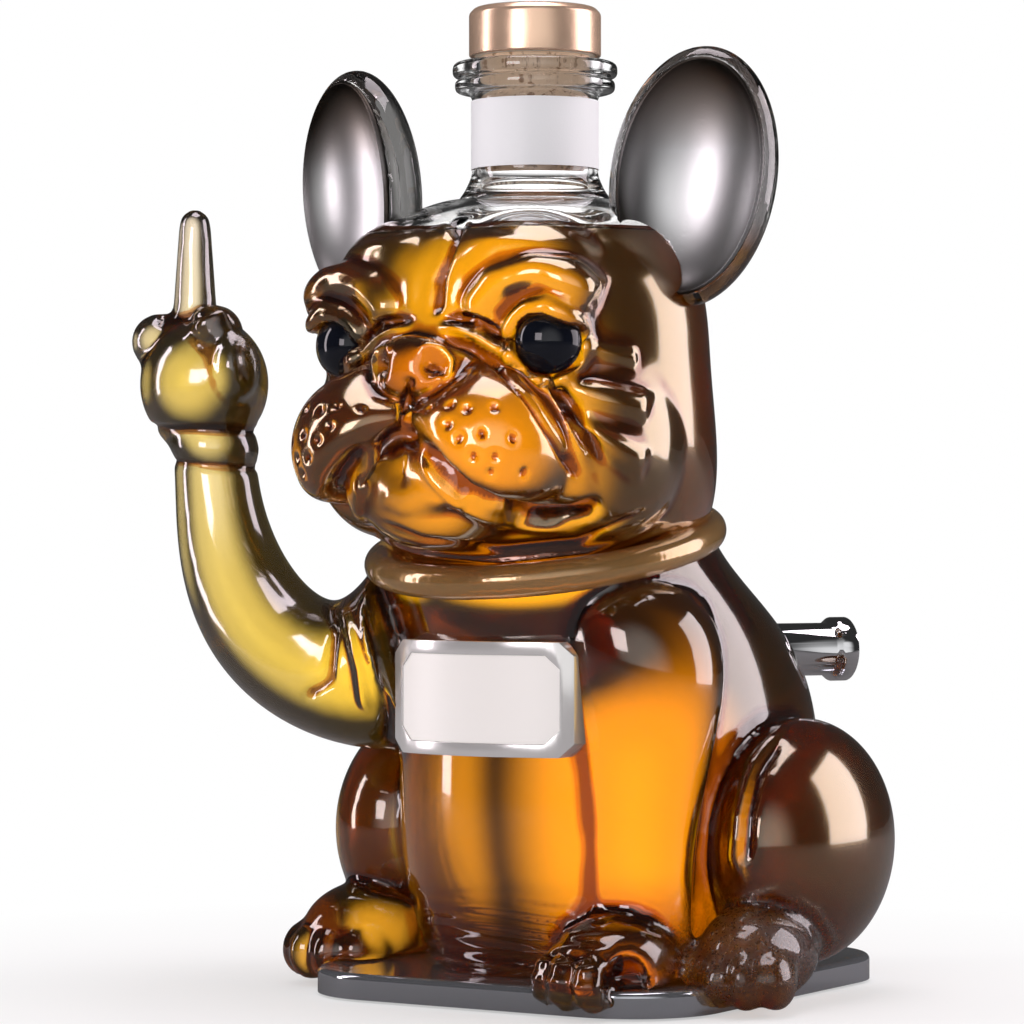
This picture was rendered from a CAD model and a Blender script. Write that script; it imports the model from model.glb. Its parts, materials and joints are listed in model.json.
import json
import math

import bpy
import numpy as np
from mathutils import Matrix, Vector
from mathutils.bvhtree import BVHTree

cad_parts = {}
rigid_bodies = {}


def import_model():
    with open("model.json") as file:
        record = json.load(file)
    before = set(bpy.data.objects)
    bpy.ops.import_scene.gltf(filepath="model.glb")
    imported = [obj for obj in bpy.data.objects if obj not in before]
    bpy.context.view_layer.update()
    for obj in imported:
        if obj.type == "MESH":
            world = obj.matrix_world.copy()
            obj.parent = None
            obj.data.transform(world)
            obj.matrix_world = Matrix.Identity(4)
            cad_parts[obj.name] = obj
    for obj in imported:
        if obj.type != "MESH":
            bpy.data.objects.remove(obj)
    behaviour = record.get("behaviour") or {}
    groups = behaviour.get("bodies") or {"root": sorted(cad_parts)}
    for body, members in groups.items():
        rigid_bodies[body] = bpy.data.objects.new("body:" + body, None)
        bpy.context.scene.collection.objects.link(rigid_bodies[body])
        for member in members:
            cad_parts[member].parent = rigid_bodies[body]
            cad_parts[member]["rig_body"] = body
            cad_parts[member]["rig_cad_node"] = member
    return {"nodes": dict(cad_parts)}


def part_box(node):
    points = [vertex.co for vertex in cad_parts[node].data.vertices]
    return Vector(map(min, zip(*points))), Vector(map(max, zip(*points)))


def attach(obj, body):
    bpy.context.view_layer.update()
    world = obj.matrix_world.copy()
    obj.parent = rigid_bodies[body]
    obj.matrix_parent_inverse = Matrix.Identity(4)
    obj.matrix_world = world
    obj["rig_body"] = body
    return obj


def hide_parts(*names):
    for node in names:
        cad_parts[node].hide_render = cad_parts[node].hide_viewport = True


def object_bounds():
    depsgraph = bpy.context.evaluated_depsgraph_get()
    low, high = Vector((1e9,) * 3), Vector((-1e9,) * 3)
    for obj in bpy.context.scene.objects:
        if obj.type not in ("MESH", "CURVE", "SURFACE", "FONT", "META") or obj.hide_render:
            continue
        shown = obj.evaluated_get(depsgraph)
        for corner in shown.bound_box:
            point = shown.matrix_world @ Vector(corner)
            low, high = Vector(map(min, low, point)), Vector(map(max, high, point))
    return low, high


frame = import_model()
cad_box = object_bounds()

# Studio camera. The decanter is seen level and from its left front, from about a metre away,
# with the neck a little right of the picture's middle.
VIEW_TURN = math.radians(32)
VIEW_DISTANCE = 1.0
VIEW_HEIGHT = 0.1215
VIEW_SIDE = -0.00575
PICTURE_WIDTH = 0.256
PICTURE_PIXELS = 1024
SENSOR_WIDTH = 36.0

view_right = Vector((math.cos(VIEW_TURN), math.sin(VIEW_TURN), 0))
view_back = Vector((math.sin(VIEW_TURN), -math.cos(VIEW_TURN), 0))
view_point = view_back * VIEW_DISTANCE + view_right * VIEW_SIDE + Vector((0, 0, VIEW_HEIGHT))
bpy.ops.object.camera_add(location=view_point, rotation=(math.pi / 2, 0, VIEW_TURN))
camera = bpy.context.object
camera.name = "studio_camera"
camera.data.sensor_width = SENSOR_WIDTH
camera.data.lens = SENSOR_WIDTH * VIEW_DISTANCE / PICTURE_WIDTH
bpy.context.scene.camera = camera


def sight(pixel):
    """The line of sight through a pixel of the photograph, from the camera."""
    reach = PICTURE_WIDTH / PICTURE_PIXELS / VIEW_DISTANCE
    across, down = pixel[0] - PICTURE_PIXELS / 2, pixel[1] - PICTURE_PIXELS / 2
    return (view_right * (across * reach) - Vector((0, 0, down * reach)) - view_back).normalized()


# Studio set. A white floor that keeps the shadow, white card behind and dark card between the lights,
# as glass is photographed, with a tall soft box at each side, a small one in front and a wide one overhead.
FLOOR_SIZE = 6.0
FLOOR_WHITE = (0.75, 0.75, 0.75, 1)
FLOOR_CARD = (0.14, 0.14, 0.14, 1)
FLOOR_GLOW = 0.5
SHADOW_NEAR = 0.10
SHADOW_FAR = 0.26
BOX_AWAY = 0.9
SIDE_BOX_RISE = 0.36
SIDE_BOX_TURN = math.radians(86)
SIDE_BOX_HEIGHT = 0.8
LEFT_BOX_WIDTH, LEFT_BOX_POWER = 0.14, 2.2
RIGHT_BOX_WIDTH, RIGHT_BOX_POWER = 0.6, 5.5
FRONT_BOX_TURN = math.radians(210)
FRONT_BOX_RISE = 0.32
FRONT_BOX_SIZE, FRONT_BOX_POWER = 0.3, 1.6
TOP_BOX_SIZE = 0.7
TOP_BOX_RISE = 1.2
TOP_BOX_POWER = 6.0
BOX_TINT = (1.0, 0.90, 0.95)
ROOM_LIGHT = (0.62, 0.62, 0.62, 1)
BACKDROP_WHITE = (1.0, 1.0, 1.0, 1)
HALF_TURN = 180.0
CARD_TURN = math.radians(5)
SIDE_CARD_TURN = math.radians(50)
# Brightness by degrees away from the middle of a card: what is seen through glass, then what is mirrored in it.
THROUGH_CARDS = [(0, 2.1), (9, 1.7), (28, 0.03), (64, 0.02), (74, 0.2), (92, 0.2), (106, 0.03), (145, 0.06),
                 (165, 0.4)]
SIDE_CARDS = [(0, 1.3), (8, 1.1), (20, 0.0)]
MIRROR_CARDS = [(0, 0.05), (40, 0.03), (134, 0.03), (164, 0.85), (180, 1.0)]

bpy.context.scene.view_settings.view_transform = "Standard"


def new_material(name):
    material = bpy.data.materials.new(name)
    material.use_nodes = True
    return material, material.node_tree.nodes, material.node_tree.links


def set_inputs(node, **values):
    """Sets a node's inputs by name, with spaces written as underscores."""
    for key, value in values.items():
        node.inputs[key.replace("_", " ")].default_value = value


def around(turn):
    """A level direction, turned to the right from straight behind the decanter."""
    return view_right * math.sin(turn) - view_back * math.cos(turn)


def math_node(nodes, links, operation, *sources):
    node = nodes.new("ShaderNodeMath")
    node.operation = operation
    for number, source in enumerate(sources):
        if isinstance(source, (int, float)):
            node.inputs[number].default_value = source
        else:
            links.new(source, node.inputs[number])
    return node.outputs[0]


def mix_colours(nodes, links, factor, first, second, blend="MIX"):
    node = nodes.new("ShaderNodeMix")
    node.data_type = "RGBA"
    node.blend_type = blend
    for socket, source in ((node.inputs["Factor"], factor), (node.inputs[6], first), (node.inputs[7], second)):
        if isinstance(source, (int, float, tuple)):
            socket.default_value = source
        else:
            links.new(source, socket)
    return node.outputs[2]


bpy.ops.mesh.primitive_plane_add(size=FLOOR_SIZE)
floor = bpy.context.object
floor.name = "studio_floor"
material, nodes, links = new_material("white_floor")
shader = nodes["Principled BSDF"]
set_inputs(shader, Roughness=0.9)
path = nodes.new("ShaderNodeLightPath")
floor_colour = mix_colours(nodes, links, path.outputs["Is Glossy Ray"], FLOOR_WHITE, FLOOR_CARD)
links.new(floor_colour, shader.inputs["Base Color"])
place = nodes.new("ShaderNodeTexCoord")
away = nodes.new("ShaderNodeVectorMath")
away.operation = "LENGTH"
links.new(place.outputs["Object"], away.inputs[0])
spread = nodes.new("ShaderNodeMapRange")
set_inputs(spread, From_Min=SHADOW_NEAR, From_Max=SHADOW_FAR, To_Min=FLOOR_GLOW, To_Max=1.0)
links.new(away.outputs["Value"], spread.inputs["Value"])
glowing = math_node(nodes, links, "MULTIPLY", path.outputs["Is Camera Ray"], spread.outputs["Result"])
shown = shader.outputs["BSDF"]
for kind, share in (("ShaderNodeEmission", glowing),
                    ("ShaderNodeBsdfTransparent", path.outputs["Is Transmission Ray"])):
    layer, mixed = nodes.new(kind), nodes.new("ShaderNodeMixShader")
    links.new(share, mixed.inputs["Fac"])
    links.new(shown, mixed.inputs[1])
    links.new(layer.outputs[0], mixed.inputs[2])
    shown = mixed.outputs["Shader"]
links.new(shown, nodes["Material Output"].inputs["Surface"])
floor.data.materials.append(material)


def soft_box(name, place, width, height, power):
    """A soft box aimed at the middle of the decanter, and not seen through its glass."""
    bpy.ops.object.light_add(type="AREA", location=place)
    lamp = bpy.context.object
    lamp.name = name
    lamp.data.shape = "RECTANGLE"
    lamp.data.size, lamp.data.size_y = width, height
    lamp.data.energy = power
    lamp.data.color = BOX_TINT
    lamp.visible_transmission = False
    aim = Vector((0, 0, VIEW_HEIGHT)) - place
    lamp.rotation_euler = aim.to_track_quat("-Z", "Y").to_euler()


for name, turn, rise, width, height, power in (
        ("left_soft_box", -SIDE_BOX_TURN, SIDE_BOX_RISE, LEFT_BOX_WIDTH, SIDE_BOX_HEIGHT, LEFT_BOX_POWER),
        ("right_soft_box", SIDE_BOX_TURN, SIDE_BOX_RISE, RIGHT_BOX_WIDTH, SIDE_BOX_HEIGHT, RIGHT_BOX_POWER),
        ("front_soft_box", FRONT_BOX_TURN, FRONT_BOX_RISE, FRONT_BOX_SIZE, FRONT_BOX_SIZE, FRONT_BOX_POWER)):
    soft_box(name, around(turn) * BOX_AWAY + Vector((0, 0, rise)), width, height, power)
soft_box("top_soft_box", Vector((0, 0, TOP_BOX_RISE)), TOP_BOX_SIZE, TOP_BOX_SIZE, TOP_BOX_POWER)

world = bpy.data.worlds.new("studio")
bpy.context.scene.world = world
world.use_nodes = True
nodes, links = world.node_tree.nodes, world.node_tree.links
place = nodes.new("ShaderNodeTexCoord")


def bearing_from(aim):
    """The angle of the seen direction from an aim, as a share of half a turn."""
    toward = nodes.new("ShaderNodeVectorMath")
    toward.operation = "DOT_PRODUCT"
    toward.inputs[1].default_value = aim
    links.new(place.outputs["Generated"], toward.inputs[0])
    return math_node(nodes, links, "DIVIDE", math_node(nodes, links, "ARCCOSINE", toward.outputs["Value"]), math.pi)


def colour_ramp(nodes, links, factor, stops):
    """A colour ramp from (place, colour) stops; a bare number is a grey."""
    ramp = nodes.new("ShaderNodeValToRGB")
    ramp.color_ramp.interpolation = "EASE"
    points = ramp.color_ramp.elements
    points.remove(points[-1])
    for number, (place, colour) in enumerate(stops):
        point = points[0] if number == 0 else points.new(place)
        point.position = place
        point.color = colour if isinstance(colour, tuple) else (colour, colour, colour, 1)
    links.new(factor, ramp.inputs["Fac"])
    return ramp.outputs["Color"]


def cards_about(aim, cards):
    """Cards standing round an aim."""
    return colour_ramp(nodes, links, bearing_from(aim), [(turn / HALF_TURN, level) for turn, level in cards])


through = mix_colours(nodes, links, 1.0, cards_about(around(CARD_TURN), THROUGH_CARDS),
                      cards_about(around(SIDE_CARD_TURN), SIDE_CARDS), "ADD")
mirror = cards_about(around(0), MIRROR_CARDS)
path = nodes.new("ShaderNodeLightPath")
card = mix_colours(nodes, links, path.outputs["Is Transmission Ray"], mirror, through)
shiny = math_node(nodes, links, "MAXIMUM", path.outputs["Is Glossy Ray"], path.outputs["Is Transmission Ray"])
direct = math_node(nodes, links, "LESS_THAN", path.outputs["Diffuse Depth"], 0.5)
shiny = math_node(nodes, links, "MULTIPLY", shiny, direct)
room = mix_colours(nodes, links, shiny, ROOM_LIGHT, card)
backdrop = mix_colours(nodes, links, path.outputs["Is Camera Ray"], room, BACKDROP_WHITE)
links.new(backdrop, nodes["Background"].inputs["Color"])

# Slab and pad. A thick chromed plate with rounded corners carries the dog; a felt pad is let into its underside.
CHROME_DARK = (0.50, 0.52, 0.56, 1)
SLAB_PLATING = 0.88
SLAB_GLOSS = (0.04, 0.12)
WIPING_MARKS = 60.0
FELT_BLACK = (0.02, 0.02, 0.022, 1)
FELT_FIBRES, FELT_RISE = 2500.0, 0.0003


def speckle(nodes, links, scale, detail=3.0, roughness=0.6):
    """Noise over the piece, from its own coordinates."""
    place = nodes.new("ShaderNodeTexCoord")
    noise = nodes.new("ShaderNodeTexNoise")
    set_inputs(noise, Scale=scale, Detail=detail, Roughness=roughness)
    links.new(place.outputs["Object"], noise.inputs["Vector"])
    return noise.outputs["Fac"]


def ranged(nodes, links, factor, low, high):
    """A 0 to 1 value spread from low to high."""
    node = nodes.new("ShaderNodeMapRange")
    set_inputs(node, To_Min=low, To_Max=high)
    links.new(factor, node.inputs["Value"])
    return node.outputs["Result"]


def raised(nodes, links, height, strength, distance):
    bump = nodes.new("ShaderNodeBump")
    set_inputs(bump, Strength=strength, Distance=distance)
    links.new(height, bump.inputs["Height"])
    links.new(bump.outputs["Normal"], nodes["Principled BSDF"].inputs["Normal"])


def plated_metal(name, colour, gloss, plating=1.0):
    """Polished plating with faint wiping marks in its gloss."""
    material, nodes, links = new_material(name)
    shader = nodes["Principled BSDF"]
    set_inputs(shader, Base_Color=colour, Metallic=plating)
    wiped = ranged(nodes, links, speckle(nodes, links, WIPING_MARKS, 5.0), *gloss)
    links.new(wiped, shader.inputs["Roughness"])
    return material


def finish_node(node, material):
    """Gives a CAD node that is shown as it is a better material."""
    shown = frame["nodes"][node]
    shown.data.materials.clear()
    shown.data.materials.append(material)


finish_node("base_plate", plated_metal("dark_chrome", CHROME_DARK, SLAB_GLOSS, SLAB_PLATING))
material, nodes, links = new_material("black_felt")
set_inputs(nodes["Principled BSDF"], Base_Color=FELT_BLACK, Roughness=0.95, Sheen_Weight=0.4)
raised(nodes, links, speckle(nodes, links, FELT_FIBRES), 0.6, FELT_RISE)
finish_node("base_pad", material)

# Glass body. Blown amber glass filled with liquor: torso, haunches, legs, paws and the raised foreleg are fused
# hot into one vessel, so one closed skin stands for the glass and the liquor behind it.
BODY_NODES = ["torso_shell", "raised_arm", "raised_fist", "raised_finger", "front_leg", "front_paw",
              "left_haunch", "right_haunch", "left_hind_paw", "right_hind_paw"]
MM = 0.001
BODY_GRAIN = 1.05 * MM
BODY_SMOOTHING = 12
WELD = 1e-6
TINY = 1e-9
LINE_FADE = 0.14
CREASE_DEPTH = 0.5 * MM


def pick(*objects):
    """Selects these objects alone; the last one is active."""
    bpy.ops.object.select_all(action="DESELECT")
    for shown in objects:
        shown.select_set(True)
    bpy.context.view_layer.objects.active = objects[-1]


def copy_of(name, *sources):
    """One new object made of merged copies of CAD nodes."""
    pick(*(frame["nodes"][source] for source in sources))
    bpy.ops.object.duplicate()
    if len(sources) > 1:
        bpy.ops.object.join()
    bpy.ops.object.parent_clear(type="CLEAR_KEEP_TRANSFORM")
    piece = bpy.context.object
    piece.name = piece.data.name = name
    piece.data.materials.clear()
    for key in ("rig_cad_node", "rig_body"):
        del piece[key]
    bpy.ops.object.mode_set(mode="EDIT")
    bpy.ops.mesh.select_all(action="SELECT")
    bpy.ops.mesh.remove_doubles(threshold=WELD)
    bpy.ops.object.mode_set(mode="OBJECT")
    return piece


def apply(piece, kind, **settings):
    """Adds a modifier to the piece and applies it."""
    pick(piece)
    modifier = piece.modifiers.new(kind.lower(), kind)
    for key, value in settings.items():
        setattr(modifier, key, value)
    bpy.ops.object.modifier_apply(modifier=modifier.name)


def points_of(piece):
    found = np.empty(len(piece.data.vertices) * 3)
    piece.data.vertices.foreach_get("co", found)
    return found.reshape(-1, 3)


def normals_of(piece):
    found = np.empty(len(piece.data.vertices) * 3)
    piece.data.vertices.foreach_get("normal", found)
    return found.reshape(-1, 3)


def set_points(piece, points):
    piece.data.vertices.foreach_set("co", points.ravel())
    piece.data.update()


def select_points(piece, chosen):
    """Selects the points that a mask chooses, and leaves the piece in edit mode."""
    pick(piece)
    bpy.ops.object.mode_set(mode="EDIT")
    bpy.ops.mesh.select_mode(type="VERT")
    bpy.ops.mesh.select_all(action="DESELECT")
    bpy.ops.object.mode_set(mode="OBJECT")
    piece.data.vertices.foreach_set("select", np.asarray(chosen, bool))
    bpy.ops.object.mode_set(mode="EDIT")


def keep_outer_skin(piece):
    """Deletes every loose skin but the one that holds the highest point."""
    points = points_of(piece)
    select_points(piece, np.arange(len(points)) == points[:, 2].argmax())
    bpy.ops.mesh.select_linked()
    bpy.ops.mesh.select_all(action="INVERT")
    bpy.ops.mesh.delete(type="VERT")
    bpy.ops.object.mode_set(mode="OBJECT")


def cut_flat(piece, place, facing, chosen=None):
    """Cuts away what lies beyond a plane, of the chosen points or all, and closes the cut."""
    select_points(piece, np.ones(len(piece.data.vertices)) if chosen is None else chosen)
    bpy.ops.mesh.bisect(plane_co=place, plane_no=facing, use_fill=True, clear_outer=True)
    bpy.ops.object.mode_set(mode="OBJECT")


def shade_smooth(piece):
    pick(piece)
    bpy.ops.object.shade_smooth()


def on_skin(piece, pixels, count=28):
    """Points of the skin that the camera sees along a line of pixels of the photograph."""
    tree = BVHTree.FromPolygons([vertex.co for vertex in piece.data.vertices],
                                [tuple(polygon.vertices) for polygon in piece.data.polygons])
    corners = np.array(pixels, float)
    steps = np.linspace(0, len(corners) - 1, count)
    line = np.stack([np.interp(steps, np.arange(len(corners)), corners[:, axis]) for axis in (0, 1)], 1)
    hits = (tree.ray_cast(view_point, sight(pixel))[0] for pixel in line)
    return np.array([hit for hit in hits if hit is not None])


def far_from_line(points, line):
    """Each point's distance from a line, and how far along the line that is, from 0 to 1."""
    best, along = np.full(len(points), np.inf), np.zeros(len(points))
    for number in range(len(line) - 1):
        start, way = line[number], line[number + 1] - line[number]
        share = np.clip((points - start) @ way / max(way @ way, TINY ** 2), 0, 1)
        distance = np.linalg.norm(points - start - share[:, None] * way, axis=1)
        closer = distance < best
        best[closer] = distance[closer]
        along[closer] = (number + share[closer]) / (len(line) - 1)
    return best, along


MIRRORED = np.array([-1.0, 1.0, 1.0])
PIXEL = PICTURE_WIDTH / PICTURE_PIXELS / MM


def press(piece, strokes, both_sides=False):
    """Draws ridges and grooves on the skin: each stroke is pixels, half width and height in millimetres.

    Gives back how deep in a groove each point is, from 0 to 1."""
    lines = [on_skin(piece, pixels) for pixels, _, _ in strokes]
    points, normals = points_of(piece), normals_of(piece)
    lift, drawn = np.zeros(len(points)), np.zeros(len(points))
    for line, (_, half_width, height) in zip(lines, strokes):
        if len(line) < 2:
            continue
        for turn in (1, MIRRORED) if both_sides else (1,):
            distance, along = far_from_line(points, line * turn)
            ends = np.clip(np.minimum(along, 1 - along) / LINE_FADE, 0, 1)
            share = np.exp(-((distance / (half_width * MM)) ** 2)) * ends * ends * (3 - 2 * ends)
            lift += height * MM * share
            if height < 0:
                drawn = np.maximum(drawn, share * share)
    set_points(piece, points + normals * lift[:, None])
    return drawn


def dent(piece, spots, half_width, height):
    """Dents, or bumps, at places on the skin."""
    points, normals = points_of(piece), normals_of(piece)
    lift = np.zeros(len(points))
    for spot in spots:
        distance = np.linalg.norm(points - np.array(spot), axis=1)
        lift += height * MM * np.exp(-((distance / (half_width * MM)) ** 2))
    set_points(piece, points + normals * lift[:, None])


def ring_marks(piece, marks):
    """Rings pressed round a limb: each is a place on its axis, the axis, a reach, half width and height."""
    points, normals = points_of(piece), normals_of(piece)
    lift = np.zeros(len(points))
    for place, axis, reach, half_width, height in marks:
        axis = np.array(axis) / np.linalg.norm(axis)
        offset = (points - np.array(place) * MM) @ axis
        near = np.linalg.norm(points - np.array(place) * MM, axis=1) < reach * MM
        lift += near * height * MM * np.exp(-((offset / (half_width * MM)) ** 2))
    set_points(piece, points + normals * lift[:, None])


def neighbour_mean(piece, values):
    """Each point's value averaged over the points that share an edge with it."""
    ends = np.empty(len(piece.data.edges) * 2, np.int32)
    piece.data.edges.foreach_get("vertices", ends)
    one, two = ends.reshape(-1, 2).T
    here, there = np.concatenate([one, two]), np.concatenate([two, one])
    columns = values.reshape(len(values), -1)
    count = np.maximum(np.bincount(here, minlength=len(values)), 1)
    totals = [np.bincount(here, column[there], len(values)) / count for column in columns.T]
    return np.stack(totals, 1).reshape(values.shape)


def spread_out(piece, values, rounds):
    """Values per point, averaged with their neighbours again and again."""
    for _ in range(rounds):
        values = neighbour_mean(piece, values)
    return values


def melt(piece, mask, rounds):
    """Smooths the skin where a mask says so, as fire polishing does."""
    points = points_of(piece)
    for _ in range(rounds):
        points = points + (neighbour_mean(piece, points) - points) * (0.5 * mask)[:, None]
    set_points(piece, points)


def seen_at(points):
    """The photograph's pixel in which each point is seen."""
    offset = points - np.array(view_point)
    depth = offset @ np.array(-view_back)
    scale = PICTURE_PIXELS * VIEW_DISTANCE / PICTURE_WIDTH / depth
    across = offset @ np.array(view_right) * scale + PICTURE_PIXELS / 2
    return np.stack([across, PICTURE_PIXELS / 2 - offset[:, 2] * scale], 1)


def inside_outline(pixels, outline):
    """How far inside a closed outline each pixel lies, in pixels; 0 outside."""
    corners = np.array(outline, float)
    within = np.zeros(len(pixels), bool)
    nearest = np.full(len(pixels), np.inf)
    for start, end in zip(corners, np.roll(corners, -1, 0)):
        way = end - start
        share = np.clip((pixels - start) @ way / (way @ way), 0, 1)
        nearest = np.minimum(nearest, np.linalg.norm(pixels - start - share[:, None] * way, axis=1))
        spans = (start[1] > pixels[:, 1]) != (end[1] > pixels[:, 1])
        reach = start[0] + (pixels[:, 1] - start[1]) / (way[1] if way[1] else TINY) * way[0]
        within ^= spans & (pixels[:, 0] < reach)
    return nearest * within


def swell(piece, pads, front, both_sides=False):
    """Raises pads of the skin in front of a depth: each is an outline in pixels, a rise and an edge width."""
    points, normals = points_of(piece), normals_of(piece)
    lift = np.zeros(len(points))
    for turn in (1, MIRRORED) if both_sides else (1,):
        pixels = seen_at(points * turn)
        facing = ((normals * turn) @ np.array(view_back) > 0) & (points[:, 1] < front)
        for outline, rise, edge in pads:
            share = np.clip(inside_outline(pixels, outline) * PIXEL / edge, 0, 1)
            lift = np.maximum(lift, facing * rise * MM * np.sin(share * math.pi / 2))
    set_points(piece, points + normals * spread_out(piece, lift, 4)[:, None])


def painted(nodes, name):
    """What is kept under a name on each point of the piece."""
    node = nodes.new("ShaderNodeAttribute")
    node.attribute_name = name
    return node.outputs["Fac"]


def paint(piece, name, values):
    """Keeps one number per point on the piece, for its material to read."""
    layer = piece.data.attributes.new(name, "FLOAT", "POINT")
    layer.data.foreach_set("value", np.asarray(values, np.float32))


def hollowness(piece):
    """How hollow the skin is at each point: 0 on swellings, 1 in creases."""
    points, normals = points_of(piece), normals_of(piece)
    depth = ((spread_out(piece, points, 10) - points) * normals).sum(1)
    return np.clip(0.5 + spread_out(piece, depth, 2) / CREASE_DEPTH, 0, 1)


collar_low, collar_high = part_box("collar_ring")
COLLAR_HALF = 3.0 * MM
COLLAR_ROOM = 4 * MM
UNDER_COLLAR = 15 * MM
SEAM_GAP = 0.1 * MM
collar_front = Vector((0, collar_low.y + COLLAR_HALF, collar_low.z + COLLAR_HALF))
collar_behind = Vector((0, collar_high.y - COLLAR_HALF, collar_high.z - COLLAR_HALF))
collar_place = (collar_front + collar_behind) / 2
collar_facing = Vector((1, 0, 0)).cross(collar_behind - collar_front).normalized()
collar_reach = collar_high.x + COLLAR_ROOM

body = copy_of("glass_body", *BODY_NODES, "liquor")
apply(body, "REMESH", mode="VOXEL", voxel_size=BODY_GRAIN)
keep_outer_skin(body)
apply(body, "SMOOTH", factor=0.5, iterations=BODY_SMOOTHING)
points = points_of(body)
inside_collar = (np.abs(points[:, 0]) < collar_reach) & (points[:, 2] > collar_low.z - UNDER_COLLAR)
cut_flat(body, collar_place - collar_facing * SEAM_GAP, collar_facing, inside_collar)

# Rolls of glass at the shoulder, the wrist and the haunch, and creases between the knuckles.
BODY_STROKES = [
    ([(345, 572), (366, 610), (380, 660), (388, 720), (384, 748)], 1.6, -1.5),
    ([(330, 580), (348, 620), (360, 670), (366, 715)], 1.8, 1.2),
    ([(322, 592), (334, 630), (330, 680), (300, 700)], 1.4, -1.2),
    ([(160, 328), (165, 314), (167, 303)], 0.9, -1.1),
    ([(176, 318), (193, 319), (213, 311)], 0.9, -1.0),
    ([(193, 329), (211, 316), (236, 311), (251, 322)], 1.4, 1.0),
    ([(188, 334), (200, 342), (206, 352)], 0.9, -0.8),
    ([(240, 334), (236, 352), (240, 372), (252, 388)], 1.0, -1.0),
    ([(794, 716), (754, 759), (739, 811), (735, 858), (747, 886)], 1.2, 1.4),
    ([(782, 738), (758, 775), (749, 820), (747, 866)], 1.1, -1.3),
    ([(727, 906), (774, 890), (814, 910), (841, 953)], 1.0, 0.9),
    ([(735, 925), (776, 906), (806, 926), (826, 962)], 0.9, -0.8),
    ([(590, 926), (614, 918), (640, 924), (664, 936)], 1.0, -0.9),
    ([(352, 880), (372, 892), (402, 896), (420, 905)], 1.1, -0.9),
]
WRIST_MARKS = [((-94, -6, 134), (0.1, 0, 1), 24, 0.9, -0.9), ((-94, -6, 143), (0.05, 0, 1), 24, 0.9, -1.0),
               ((-94, -6, 138.5), (0.08, 0, 1), 24, 2.2, 0.7)]
body_lines = press(body, BODY_STROKES)
ring_marks(body, WRIST_MARKS)

# Ripples in the thick glass low on the torso.
RIPPLE_TOP = 30 * MM
RIPPLE_STEP = 4.2 * MM
RIPPLE_HEIGHT = 0.45 * MM
RIPPLE_REACH = 40 * MM
points, normals = points_of(body), normals_of(body)
low = np.clip((RIPPLE_TOP - points[:, 2]) / RIPPLE_TOP, 0, 1)
under_torso = np.abs(points[:, 0]) < RIPPLE_REACH
wander = 2.2 * np.sin(points[:, 0] * 95 + points[:, 1] * 60) + 1.3 * np.sin(points[:, 1] * 170 - points[:, 0] * 40)
waves = np.sin(points[:, 2] * (2 * math.pi / RIPPLE_STEP) + wander)
set_points(body, points + normals * (RIPPLE_HEIGHT * low * under_torso * waves)[:, None])
apply(body, "SMOOTH", factor=0.5, iterations=2)
paint(body, "crease", np.maximum(hollowness(body), body_lines))

# Sugary cracked glass on the left hind paw and the thumb.
hind_low, hind_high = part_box("left_hind_paw")
THUMB_PIXELS = (258, 352)
THUMB_REACH = 6.0 * MM
THUMB_SPREAD, PAW_SPREAD, PAW_FALL = 1.6, 2.0, 1.15
points = points_of(body)
thumb_place = on_skin(body, [THUMB_PIXELS, THUMB_PIXELS], 2)[0]
thumb_share = np.clip(THUMB_SPREAD - np.linalg.norm(points - thumb_place, axis=1) / THUMB_REACH, 0, 1)
paw_middle = np.array((hind_low + hind_high) / 2)
paw_half = np.array((hind_high - hind_low) / 2)
paw_share = np.clip(PAW_SPREAD - np.linalg.norm((points - paw_middle) / paw_half, axis=1) * PAW_FALL, 0, 1)
broken_share = np.maximum(thumb_share, paw_share)
paint(body, "cracked", broken_share)

# A satin gold lustre inside the glass of the raised foreleg and the haunches, and a faint one elsewhere.
ARM_LUSTRE, HAUNCH_LUSTRE, BODY_LUSTRE = 0.10, 0.15, 0.03
ARM_SIDE, ARM_SIDE_FADE = -44 * MM, 10 * MM
ARM_LOW, ARM_LOW_FADE = 58 * MM, 8 * MM
HAUNCH_OUT = np.array((6, 0, 0)) * MM
HAUNCH_SPREAD, HAUNCH_FALL = 2.6, 2.0
PAINT_FADE = 12
haunch_low, haunch_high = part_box("left_haunch")
haunch_middle = np.array((haunch_low + haunch_high) / 2) + HAUNCH_OUT
haunch_half = np.array((haunch_high - haunch_low) / 2)
on_arm = np.clip((ARM_SIDE - points[:, 0]) / ARM_SIDE_FADE, 0, 1)
on_arm *= np.clip((points[:, 2] - ARM_LOW) / ARM_LOW_FADE, 0, 1)
folded = np.stack([np.abs(points[:, 0]), points[:, 1], points[:, 2]], 1)
from_haunch = np.linalg.norm((folded - haunch_middle) / haunch_half, axis=1)
on_haunch = np.clip(HAUNCH_SPREAD - HAUNCH_FALL * from_haunch, 0, 1)
lustre = np.maximum(np.maximum(on_arm * ARM_LUSTRE, on_haunch * HAUNCH_LUSTRE), BODY_LUSTRE)
paint(body, "lustre", spread_out(body, lustre, PAINT_FADE) * (1 - broken_share))

# Paler glass in the raised foreleg and browner glass in the paws.
PAW_SHADE = 0.9
PAW_TOP, PAW_FADE = 30 * MM, 10 * MM
on_paw = np.clip((PAW_TOP - points[:, 2]) / PAW_FADE, 0, 1)
paint(body, "shade", spread_out(body, on_paw * PAW_SHADE, PAINT_FADE))
paint(body, "pale", spread_out(body, on_arm, PAINT_FADE))
shade_smooth(body)

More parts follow.
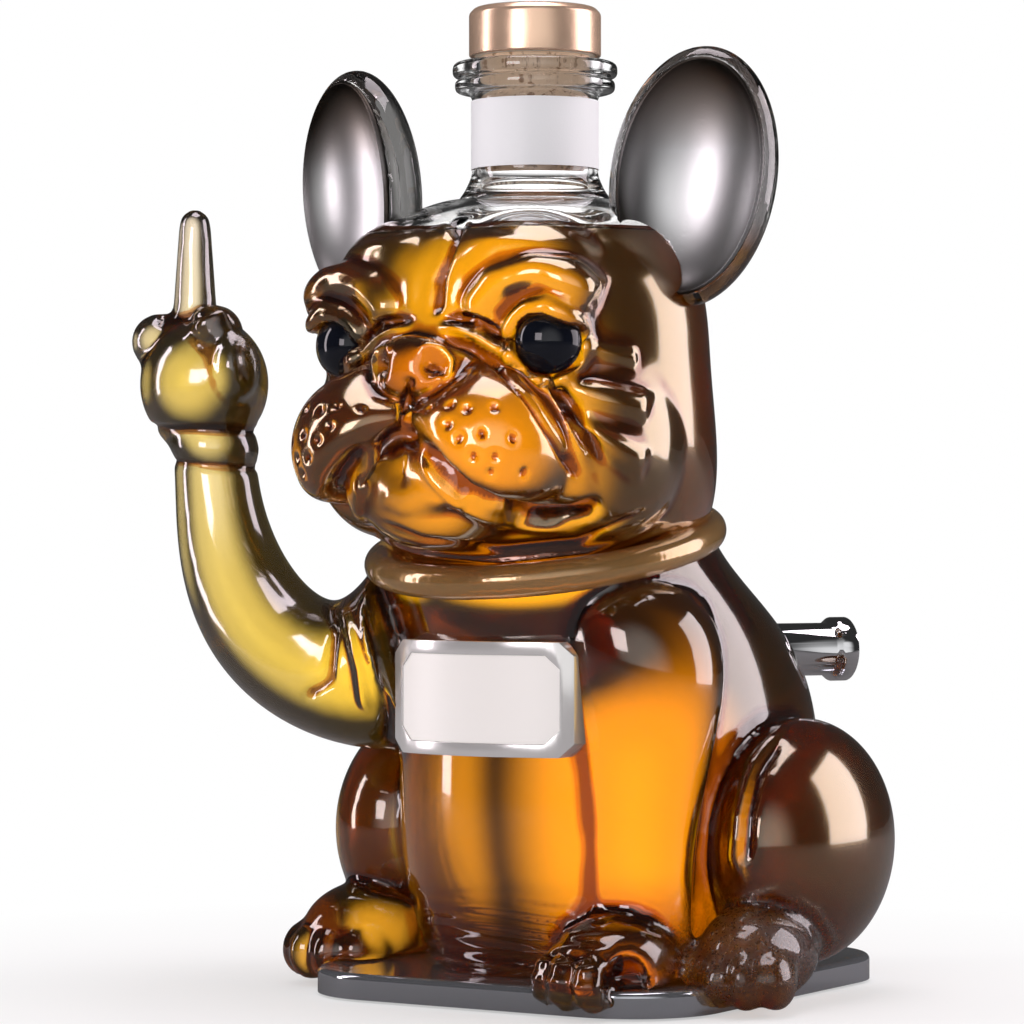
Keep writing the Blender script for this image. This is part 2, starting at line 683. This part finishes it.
LUSTRE_ROUGHNESS = 0.3
LUSTRE_TINT = 2.5
LUSTRE_GOLD = (1.0, 0.78, 0.40, 1)
AMBER_GOLD = (1.0, 0.80, 0.42, 1)
AMBER_DEEP = (0.55, 0.20, 0.05, 1)
AMBER_CREASE = (0.09, 0.02, 0.006, 1)
AMBER_SHADE = (0.50, 0.33, 0.18, 1)
AMBER_PALE = (0.66, 0.77, 1.8, 1)
AMBER_CRACKED = (0.72, 0.31, 0.10, 1)
AMBER_TAKEN = (0.985, 0.872, 0.03, 1)
AMBER_STRENGTH = 68.0
AMBER_ROUGHNESS = (0.11, 0.5)
GLASS_BEND, GLOSS_BEND = 1.45, 1.62
CRACK_GRAINS, CRACK_RISE = 900.0, 0.6 * MM


def amber_glass(name, clearness=1.0):
    """Amber liquor behind glass: soft light from within, deep colour in the creases and a hard gloss outside."""
    material, nodes, links = new_material(name)
    shader = nodes["Principled BSDF"]
    set_inputs(shader, Transmission_Weight=clearness, IOR=GLASS_BEND, Coat_Weight=1.0, Coat_Roughness=0.02,
               Coat_IOR=GLOSS_BEND)
    colour = colour_ramp(nodes, links, painted(nodes, "crease"),
                         [(0.5, AMBER_GOLD), (0.68, AMBER_DEEP), (0.95, AMBER_CREASE)])
    lustre = painted(nodes, "lustre")
    gilt = math_node(nodes, links, "MULTIPLY", lustre, LUSTRE_TINT)
    for share, tint in ((painted(nodes, "pale"), AMBER_PALE), (painted(nodes, "shade"), AMBER_SHADE),
                        (gilt, LUSTRE_GOLD)):
        colour = mix_colours(nodes, links, share, colour, tint, "MULTIPLY")
    grains = speckle(nodes, links, CRACK_GRAINS, 2.0, 0.7)
    broken = math_node(nodes, links, "MULTIPLY", painted(nodes, "cracked"), grains)
    links.new(mix_colours(nodes, links, broken, colour, AMBER_CRACKED), shader.inputs["Base Color"])
    links.new(lustre, shader.inputs["Metallic"])
    satin = math_node(nodes, links, "MULTIPLY", lustre, LUSTRE_ROUGHNESS)
    rough = math_node(nodes, links, "ADD", ranged(nodes, links, broken, *AMBER_ROUGHNESS), satin)
    links.new(rough, shader.inputs["Roughness"])
    raised(nodes, links, broken, 0.8, CRACK_RISE)
    taken = nodes.new("ShaderNodeVolumeAbsorption")
    set_inputs(taken, Color=AMBER_TAKEN, Density=AMBER_STRENGTH)
    links.new(taken.outputs["Volume"], nodes["Material Output"].inputs["Volume"])
    return material


amber = amber_glass("amber_glass")
body.data.materials.append(amber)
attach(body, "decanter")
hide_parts(*BODY_NODES)

# Head. The same blown glass, pressed with the dog's folds while hot and fused to the torso under the collar;
# liquor fills it nearly to the crown.
HEAD_NODES = ["head_shell", "crown_shell"]
HEAD_GRAIN = 0.75 * MM
HEAD_SMOOTHING = 30
PLUG_DEPTH = 20 * MM
liquor_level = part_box("liquor")[1].z
neck_low, neck_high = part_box("neck")
head = copy_of("glass_head", *HEAD_NODES, "liquor")
bpy.ops.mesh.primitive_cylinder_add(
    vertices=64, radius=neck_high.x, depth=PLUG_DEPTH, location=(0, 0, neck_low.z - PLUG_DEPTH / 2))
pick(bpy.context.object, head)
bpy.ops.object.join()
apply(head, "REMESH", mode="VOXEL", voxel_size=HEAD_GRAIN)
cut_flat(head, collar_place + collar_facing * SEAM_GAP, -collar_facing)
keep_outer_skin(head)
apply(head, "SMOOTH", factor=0.5, iterations=HEAD_SMOOTHING)

# The dog's left side of the face, as the photograph shows it; the right side is its mirror image.
FACE_FRONT, FACE_FRONT_FADE = -18 * MM, 12 * MM
FACE_LOW, FACE_TOP, FACE_FADE = 108 * MM, 186 * MM, 8 * MM
FACE_MELT = 160
FACE_PADS = [
    ([(408, 398), (402, 430), (416, 440), (439, 468), (462, 488), (491, 502), (534, 509), (577, 511), (600, 498),
      (592, 474), (566, 432), (537, 392), (508, 364), (474, 350), (455, 376), (434, 394)], 3.6, 7.0),
    ([(468, 328), (460, 300), (484, 268), (530, 252), (576, 256), (608, 280), (598, 304), (570, 292), (540, 286),
      (512, 296), (494, 314), (488, 332)], 2.8, 4.0),
    ([(528, 374), (560, 374), (600, 380), (654, 392), (646, 424), (600, 412), (558, 396)], 2.0, 3.0),
    ([(556, 406), (600, 426), (652, 448), (640, 486), (610, 464), (580, 436)], 2.0, 3.0),
    ([(440, 232), (462, 222), (520, 234), (560, 240), (500, 252), (466, 282), (452, 312), (440, 312)], 1.6, 5.0),
]
MIDDLE_PADS = [
    ([(372, 354), (385, 341), (410, 335), (440, 341), (456, 360), (452, 380), (430, 394), (405, 401), (385, 394),
      (372, 378)], 2.6, 3.0),
    ([(389, 454), (404, 442), (420, 454), (440, 480), (468, 502), (440, 514), (400, 518), (376, 508), (374, 480)],
     3.0, 6.0),
]
FACE_STROKES = [
    ([(434, 325), (474, 334), (508, 356), (537, 388), (566, 430), (596, 476)], 1.6, 2.4),
    ([(436, 315), (480, 323), (518, 345), (549, 378), (581, 421), (608, 468)], 1.3, -2.3),
    ([(440, 337), (470, 347), (500, 368), (528, 400), (557, 443), (584, 488)], 1.3, -2.1),
    ([(502, 348), (511, 323), (528, 306), (548, 301), (568, 312), (583, 340)], 1.4, 1.5),
    ([(506, 350), (520, 363), (540, 370), (562, 366), (582, 350)], 1.4, 1.5),
    ([(582, 345), (606, 353), (640, 360)], 2.2, 1.4),
    ([(416, 440), (439, 469), (462, 489), (491, 503), (534, 510), (577, 513), (604, 499)], 2.5, -4.2),
    ([(412, 452), (430, 481), (454, 504), (486, 519), (530, 527), (576, 529)], 1.6, 1.2),
]
MIDLINE_STROKES = [
    ([(462, 217), (451, 243), (439, 280), (436, 318)], 1.4, -2.8),
    ([(406, 376), (405, 400), (401, 432)], 1.2, -2.6),
    ([(353, 496), (364, 472), (380, 448), (392, 438), (402, 435), (416, 440)], 2.2, -3.8),
]
NOSE_STROKES = [
    ([(414, 352), (424, 345), (440, 348), (449, 360), (447, 374), (436, 383)], 1.1, 1.0),
]
NOSTRIL_PIXELS = (430, 366)
NOSTRIL_WIDTH, NOSTRIL_DEPTH = 3.0, 4.6
WHISKER_WIDTH, WHISKER_DEPTH = 0.95, 1.7
WHISKER_PIXELS = [(425, 407), (445, 404), (462, 408), (491, 407), (442, 424), (477, 433), (510, 438), (453, 438),
                  (468, 456), (491, 457), (487, 473), (522, 473)]
NECK_STROKES = [
    ([(372, 520), (420, 540), (500, 548), (580, 540), (660, 505)], 1.3, -1.2),
    ([(366, 532), (420, 554), (500, 562), (590, 552), (680, 513)], 1.2, 1.0),
    ([(362, 546), (420, 568), (500, 576), (600, 564), (690, 524)], 1.0, -1.0),
]
points = points_of(head)
on_face = np.clip((FACE_FRONT - points[:, 1]) / FACE_FRONT_FADE, 0, 1)
on_face *= np.clip((points[:, 2] - FACE_LOW) / FACE_FADE, 0, 1)
on_face *= np.clip((FACE_TOP - points[:, 2]) / FACE_FADE, 0, 1)
melt(head, on_face, FACE_MELT)
swell(head, FACE_PADS, FACE_FRONT, both_sides=True)
swell(head, MIDDLE_PADS, FACE_FRONT)
face_lines = press(head, FACE_STROKES, both_sides=True)
face_lines = np.maximum(face_lines, press(head, MIDLINE_STROKES))
press(head, NOSE_STROKES, both_sides=True)
face_lines = np.maximum(face_lines, press(head, NECK_STROKES))
nostril = on_skin(head, [NOSTRIL_PIXELS, NOSTRIL_PIXELS], 2)[0]
dent(head, [nostril, nostril * MIRRORED], NOSTRIL_WIDTH, -NOSTRIL_DEPTH)
whiskers = on_skin(head, WHISKER_PIXELS, len(WHISKER_PIXELS))
dent(head, [*whiskers, *(whiskers * MIRRORED)], WHISKER_WIDTH, -WHISKER_DEPTH)

# Sockets for the eyes, with a lid raised round each.
EYE_RIM = 7.4
LID_AWAY, LID_WIDTH, LID_RISE = 2.0, 1.5, 2.2
SOCKET_DEPTH = 1.6
for node in ("left_eye", "right_eye"):
    low_corner, high_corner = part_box(node)
    eye_middle = np.array((low_corner + high_corner) / 2)
    points, normals = points_of(head), normals_of(head)
    distance = np.linalg.norm(points - eye_middle, axis=1) / MM
    lid = np.exp(-(((distance - EYE_RIM - LID_AWAY) / LID_WIDTH) ** 2))
    socket = np.exp(-((distance / EYE_RIM) ** 4))
    set_points(head, points + normals * ((LID_RISE * lid - SOCKET_DEPTH * socket) * MM)[:, None])
apply(head, "SMOOTH", factor=0.5, iterations=2)

# The muzzle is drawn back until it keeps within the decanter's true depth.
MUZZLE_DEPTH = 16 * MM
points = points_of(head)
muzzle_start = cad_box[0][1] + MUZZLE_DEPTH
ahead = np.maximum(muzzle_start - points[:, 1], 0)
draw = max(1 - MUZZLE_DEPTH / ahead.max(), 0)
points[:, 1] += ahead * draw
set_points(head, points)
nostril[1] += (muzzle_start - nostril[1]) * draw

# Deep colour in the folds, the nostrils, the nose and under the jaw.
HEAD_LUSTRE = 0.16
NOSTRIL_REACH = 3.4 * MM
NOSE_EDGE, NOSE_DEPTH = 6.0, 0.66
JAW_HEIGHT, JAW_FADE, JAW_DEPTH = 119 * MM, 5 * MM, 0.74
nostrils = np.minimum(*(np.linalg.norm(points - hole, axis=1) for hole in (nostril, nostril * MIRRORED)))
face_lines = np.maximum(face_lines, np.exp(-((nostrils / NOSTRIL_REACH) ** 4)))
nose_pad = np.clip(inside_outline(seen_at(points), MIDDLE_PADS[0][0]) / NOSE_EDGE, 0, 1)
face_lines = np.maximum(face_lines, nose_pad * (points[:, 1] < FACE_FRONT) * NOSE_DEPTH)
under_jaw = np.clip((JAW_HEIGHT - points[:, 2]) / JAW_FADE, 0, 1) * JAW_DEPTH
paint(head, "crease", np.maximum(np.maximum(hollowness(head), face_lines), under_jaw))
paint(head, "lustre", np.full(len(points), HEAD_LUSTRE))
shade_smooth(head)

# Crown. Above the liquor the head's glass is clear and empty, open at the top where the neck stands.
CROWN_WALL = 2.4 * MM
MOUTH_EDGE, MOUTH_DEPTH = 2 * MM, 4 * MM
GLASS_SEEDS, SEED_RISE = 45.0, 2 * MM
pick(head)
bpy.ops.object.duplicate()
crown = bpy.context.object
crown.name = crown.data.name = "glass_crown"
level = Vector((0, 0, liquor_level))
cut_flat(head, level, Vector((0, 0, 1)))
cut_flat(crown, level + Vector((0, 0, SEAM_GAP)), Vector((0, 0, -1)))
points = points_of(crown)
on_level = points[:, 2] < liquor_level + 2 * SEAM_GAP
under_neck = np.hypot(points[:, 0], points[:, 1]) < neck_high.x - MOUTH_EDGE
under_neck &= points[:, 2] > neck_low.z - MOUTH_DEPTH
select_points(crown, on_level)
bpy.ops.mesh.select_mode(type="FACE")
bpy.ops.mesh.delete(type="ONLY_FACE")
bpy.ops.object.mode_set(mode="OBJECT")
select_points(crown, under_neck)
bpy.ops.mesh.delete(type="VERT")
bpy.ops.object.mode_set(mode="OBJECT")
apply(crown, "SOLIDIFY", thickness=CROWN_WALL, offset=-1)
shade_smooth(crown)
clear, nodes, links = new_material("clear_glass")
set_inputs(nodes["Principled BSDF"], Base_Color=(1.0, 1.0, 1.0, 1), Transmission_Weight=1.0, IOR=1.5, Roughness=0.0,
           Coat_Weight=0.5, Coat_Roughness=0.01)
raised(nodes, links, speckle(nodes, links, GLASS_SEEDS, 1.0), 0.12, SEED_RISE)
head.data.materials.append(amber)
crown.data.materials.append(clear)
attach(head, "decanter")
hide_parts("head_shell", "liquor")
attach(crown, "decanter")
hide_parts("crown_shell")

# Collar. A roll of amber glass laid hot round the seam of head and torso.
COLLAR_GRAIN = 0.6 * MM
COLLAR_SWELL = 1.2 * MM
COLLAR_LUSTRE = 0.25
COLLAR_DEPTH = 0.57
COLLAR_CLEARNESS = 0.8
collar = copy_of("collar_roll", "collar_ring")
apply(collar, "REMESH", mode="VOXEL", voxel_size=COLLAR_GRAIN)
apply(collar, "SMOOTH", factor=0.5, iterations=6)
set_points(collar, points_of(collar) + normals_of(collar) * COLLAR_SWELL)
paint(collar, "crease", np.full(len(collar.data.vertices), COLLAR_DEPTH))
paint(collar, "lustre", np.full(len(collar.data.vertices), COLLAR_LUSTRE))
shade_smooth(collar)
collar.data.materials.append(amber_glass("collar_amber", clearness=COLLAR_CLEARNESS))
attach(collar, "decanter")
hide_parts("collar_ring")

# Ears. Thick clear glass leaves drawn out of the head, amber where the liquor stands in their roots.
EAR_GRAIN = 0.6 * MM
EAR_ROOT, ROOT_RISE = 8 * MM, 2.6
EAR_STREAKS, STREAK_RISE = 120.0, 2 * MM
ROOT_DEPTH = (0.75, 1.2)
ROOT_AMBER = (0.75, 0.22, 0.03, 1)
EAR_CLEAR = (0.97, 0.95, 0.93, 1)


def face_outward():
    """Turns every face of the active piece outward."""
    bpy.ops.object.mode_set(mode="EDIT")
    bpy.ops.mesh.select_all(action="SELECT")
    bpy.ops.mesh.normals_make_consistent(inside=False)
    bpy.ops.object.mode_set(mode="OBJECT")


def mirror_of(piece, name):
    """A copy of a piece on the other side of the dog."""
    pick(piece)
    bpy.ops.object.duplicate()
    twin = bpy.context.object
    twin.name = twin.data.name = name
    bpy.ops.transform.mirror(constraint_axis=(True, False, False), center_override=(0, 0, 0))
    bpy.ops.object.transform_apply(location=True, rotation=True, scale=True)
    face_outward()
    return twin


ear = copy_of("left_ear_leaf", "left_ear")
apply(ear, "REMESH", mode="VOXEL", voxel_size=EAR_GRAIN)
apply(ear, "SMOOTH", factor=0.5, iterations=10)
ear_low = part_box("left_ear")[0]
paint(ear, "root", np.clip((ear_low.z + ROOT_RISE * EAR_ROOT - points_of(ear)[:, 2]) / EAR_ROOT, 0, 1))
shade_smooth(ear)
material, nodes, links = new_material("ear_glass")
shader = nodes["Principled BSDF"]
set_inputs(shader, Transmission_Weight=1.0, IOR=1.5, Roughness=0.02, Coat_Weight=0.6, Coat_Roughness=0.01)
streaks = speckle(nodes, links, EAR_STREAKS, 2.0)
tinted = math_node(nodes, links, "MULTIPLY", painted(nodes, "root"), ranged(nodes, links, streaks, *ROOT_DEPTH))
links.new(mix_colours(nodes, links, tinted, EAR_CLEAR, ROOT_AMBER), shader.inputs["Base Color"])
raised(nodes, links, streaks, 0.08, STREAK_RISE)
ear.data.materials.append(material)
right_ear = mirror_of(ear, "right_ear_leaf")
for leaf, node in ((ear, "left_ear"), (right_ear, "right_ear")):
    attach(leaf, "decanter")
    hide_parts(node)

# Ear silvering. A satin silvered skin in the cup of each ear, brown towards the tip and
# thinning to dark glass at the rim.
SILVER = (0.97, 0.97, 0.98, 1)
SILVER_RIM = (0.04, 0.035, 0.03, 1)
SILVER_GLOSS = (0.36, 0.44)
TIP_START = 0.62
RIM_START, RIM_FADE, RIM_EASE = 0.42, 0.55, 1.5
SILVER_BROWN = (0.45, 0.30, 0.20, 1)
cup = copy_of("left_ear_cup", "left_ear_mirror")
apply(cup, "SUBSURF", subdivision_type="SIMPLE", levels=1)
shade_smooth(cup)
cup_low, cup_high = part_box("left_ear_mirror")
tip_share = (points_of(cup)[:, 2] - cup_low.z) / (cup_high.z - cup_low.z)
paint(cup, "tip", np.clip((tip_share - TIP_START) / (1 - TIP_START), 0, 1))
offsets = points_of(cup) - (np.array(cup_low) + np.array(cup_high)) / 2
along = offsets @ np.linalg.svd(offsets, full_matrices=False)[2][:2].T
reach = np.linalg.norm(along / np.abs(along).max(axis=0), axis=1)
paint(cup, "rim", np.clip((reach - RIM_START) / RIM_FADE, 0, 1) ** RIM_EASE)
material, nodes, links = new_material("satin_silver")
shader = nodes["Principled BSDF"]
set_inputs(shader, Metallic=1.0)
silvered = mix_colours(nodes, links, painted(nodes, "tip"), SILVER, SILVER_BROWN)
links.new(mix_colours(nodes, links, painted(nodes, "rim"), silvered, SILVER_RIM), shader.inputs["Base Color"])
links.new(ranged(nodes, links, speckle(nodes, links, 300.0), *SILVER_GLOSS), shader.inputs["Roughness"])
cup.data.materials.append(material)
right_cup = mirror_of(cup, "right_ear_cup")
for skin, node in ((cup, "left_ear_mirror"), (right_cup, "right_ear_mirror")):
    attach(skin, "decanter")
    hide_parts(node)

# Eyes. Polished black glass balls set in the lids.
EYE_BLACK = (0.004, 0.005, 0.009, 1)
EYE_GLOSS = (0.04, 0.10)
material, nodes, links = new_material("black_glass")
shader = nodes["Principled BSDF"]
set_inputs(shader, Base_Color=EYE_BLACK, Specular_IOR_Level=0.2, Coat_Weight=0.5, Coat_Roughness=0.01)
links.new(ranged(nodes, links, speckle(nodes, links, 400.0), *EYE_GLOSS), shader.inputs["Roughness"])
for node in ("left_eye", "right_eye"):
    eye = copy_of(node + "_ball", node)
    shade_smooth(eye)
    eye.data.materials.append(material)
    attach(eye, "decanter")
    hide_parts(node)

# Neck. A clear glass neck turned at the fire, with a rolled lip, standing on the crown.
TURNED_STEPS = 128
CORNER_STEPS = 5
LIP_CURVE = 1.7 * MM
BORE = 13.7 * MM
NECK_RADIUS = 15.7 * MM


def smooth_to(piece, degrees):
    """Smooth shading that keeps edges sharper than an angle."""
    pick(piece)
    bpy.ops.object.shade_smooth_by_angle(angle=math.radians(degrees))


def turned(name, profile):
    """A closed profile of (radius, height) points spun about the neck's axis."""
    bpy.ops.mesh.primitive_circle_add(vertices=len(profile))
    piece = bpy.context.object
    piece.name = piece.data.name = name
    set_points(piece, np.array([(radius, 0, height) for radius, height in profile]))
    apply(piece, "SCREW", angle=2 * math.pi, steps=TURNED_STEPS, axis="Z", use_merge_vertices=True)
    face_outward()
    return piece


def rounded(corners, radius):
    """A closed profile with its corners rounded off."""
    corners = [np.array(corner) for corner in corners]
    line = []
    for number, corner in enumerate(corners):
        before = corners[number - 1] - corner
        after = corners[(number + 1) % len(corners)] - corner
        reach = min(radius, np.linalg.norm(before) * 0.45, np.linalg.norm(after) * 0.45)
        start, end = corner + before / np.linalg.norm(before) * reach, corner + after / np.linalg.norm(after) * reach
        for step in np.linspace(0, 1, CORNER_STEPS):
            line.append((1 - step) ** 2 * start + 2 * step * (1 - step) * corner + step ** 2 * end)
    return line


lip_radius, lip_top, foot = neck_high.x, neck_high.z, neck_low.z
neck = turned("glass_neck", rounded([
    (BORE, foot), (lip_radius - 1.2 * MM, foot), (NECK_RADIUS + 1.8 * MM, foot + 2.6 * MM),
    (NECK_RADIUS, foot + 6.5 * MM), (NECK_RADIUS, lip_top - 8.4 * MM), (lip_radius - 0.6 * MM, lip_top - 7.6 * MM),
    (lip_radius - 0.6 * MM, lip_top - 5.0 * MM), (lip_radius - 2.4 * MM, lip_top - 4.4 * MM),
    (lip_radius, lip_top - 3.8 * MM), (lip_radius, lip_top - 0.6 * MM), (lip_radius - 3.2 * MM, lip_top),
    (BORE, lip_top)], LIP_CURVE))
shade_smooth(neck)
neck.data.materials.append(clear)
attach(neck, "decanter")
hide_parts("neck")

# Band. A plain white paper band glued round the neck.
PAPER_WHITE = (0.86, 0.87, 0.89, 1)
PAPER_FIBRES, PAPER_RISE = 1800.0, 0.2 * MM
material, nodes, links = new_material("white_paper")
set_inputs(nodes["Principled BSDF"], Base_Color=PAPER_WHITE, Roughness=0.55)
raised(nodes, links, speckle(nodes, links, PAPER_FIBRES, 6.0), 0.15, PAPER_RISE)
finish_node("neck_band", material)

# Stopper. A satin copper-toned cap pressed on a moulded core, with a cork glued to it that seals the neck.
CAP_COPPER = (0.95, 0.66, 0.47, 1)
CORK_TAN = (1.0, 0.74, 0.52, 1)
CORK_FLECK = (0.45, 0.24, 0.12, 1)
CORE_CREAM = (0.78, 0.75, 0.68, 1)
CAP_EDGE = 1.5 * MM
CAP_WALL = 1.2 * MM
CAP_CURVE = 0.7 * MM
CAP_PINHOLE = 0.4 * MM
CAP_PLATING, CAP_GLOSS = 0.75, (0.2, 0.3)
CORE_GRAIN, CORE_RISE = 900.0, 0.2 * MM
CORK_PORES, CORK_RISE = 420.0, 0.5 * MM
cap_low, cap_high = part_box("stopper_cap")
cap_reach = cap_high.x
cap = turned("copper_cap", rounded([
    (CAP_PINHOLE, cap_high.z), (cap_reach - CAP_EDGE, cap_high.z), (cap_reach, cap_high.z - CAP_EDGE),
    (cap_reach, cap_low.z), (cap_reach - CAP_WALL, cap_low.z), (cap_reach - CAP_WALL, cap_high.z - CAP_WALL),
    (CAP_PINHOLE, cap_high.z - CAP_WALL)], CAP_CURVE))
smooth_to(cap, 40)
material, nodes, links = new_material("satin_copper")
shader = nodes["Principled BSDF"]
set_inputs(shader, Base_Color=CAP_COPPER, Metallic=CAP_PLATING, Anisotropic=0.4)
links.new(ranged(nodes, links, speckle(nodes, links, 220.0, 4.0), *CAP_GLOSS), shader.inputs["Roughness"])
cap.data.materials.append(material)
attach(cap, "stopper")
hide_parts("stopper_cap")
material, nodes, links = new_material("moulded_core")
set_inputs(nodes["Principled BSDF"], Base_Color=CORE_CREAM, Roughness=0.4)
raised(nodes, links, speckle(nodes, links, CORE_GRAIN), 0.2, CORE_RISE)
finish_node("stopper_core", material)
material, nodes, links = new_material("pressed_cork")
shader = nodes["Principled BSDF"]
set_inputs(shader, Roughness=0.75)
pores = speckle(nodes, links, CORK_PORES, 5.0, 0.7)
flecks = colour_ramp(nodes, links, pores, [(0.36, 1.0), (0.47, 0.0)])
links.new(mix_colours(nodes, links, flecks, CORK_TAN, CORK_FLECK), shader.inputs["Base Color"])
raised(nodes, links, pores, 0.4, CORK_RISE)
finish_node("stopper_cork", material)

# Tail. A polished stub of silvered glass stands out behind the left haunch.
CHROME_BRIGHT = (0.78, 0.78, 0.80, 1)
TAIL_GLOSS = (0.02, 0.07)
TAIL_EDGE = 0.9 * MM
bright = plated_metal("bright_chrome", CHROME_BRIGHT, TAIL_GLOSS)
tail = copy_of("tail_end", "tail_stub")
apply(tail, "BEVEL", width=TAIL_EDGE, segments=4, limit_method="ANGLE", angle_limit=math.radians(40))
smooth_to(tail, 45)
tail.data.materials.append(bright)
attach(tail, "decanter")
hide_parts("tail_stub")

# Chest plate. A pressed chrome frame with clipped corners is glued to the chest and holds a plain satin plate.
SURROUND_SILVER, SURROUND_GLOSS = (0.86, 0.85, 0.84, 1), (0.14, 0.26)
SURROUND_EDGE = 0.5 * MM
PLATE_PALE, PLATE_GLOSS = (0.90, 0.88, 0.85, 1), (0.34, 0.46)
frame_piece = copy_of("plate_surround", "plate_frame")
apply(frame_piece, "BEVEL", width=SURROUND_EDGE, segments=3, limit_method="ANGLE", angle_limit=math.radians(35))
smooth_to(frame_piece, 35)
surround, nodes, links = new_material("satin_chrome")
shader = nodes["Principled BSDF"]
set_inputs(shader, Base_Color=SURROUND_SILVER, Metallic=0.65)
links.new(ranged(nodes, links, speckle(nodes, links, 250.0, 4.0), *SURROUND_GLOSS), shader.inputs["Roughness"])
frame_piece.data.materials.append(surround)
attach(frame_piece, "decanter")
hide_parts("plate_frame")
material, nodes, links = new_material("satin_plate")
shader = nodes["Principled BSDF"]
set_inputs(shader, Base_Color=PLATE_PALE, Metallic=0.1)
links.new(ranged(nodes, links, speckle(nodes, links, 700.0, 3.0), *PLATE_GLOSS), shader.inputs["Roughness"])
finish_node("chest_plate", material)
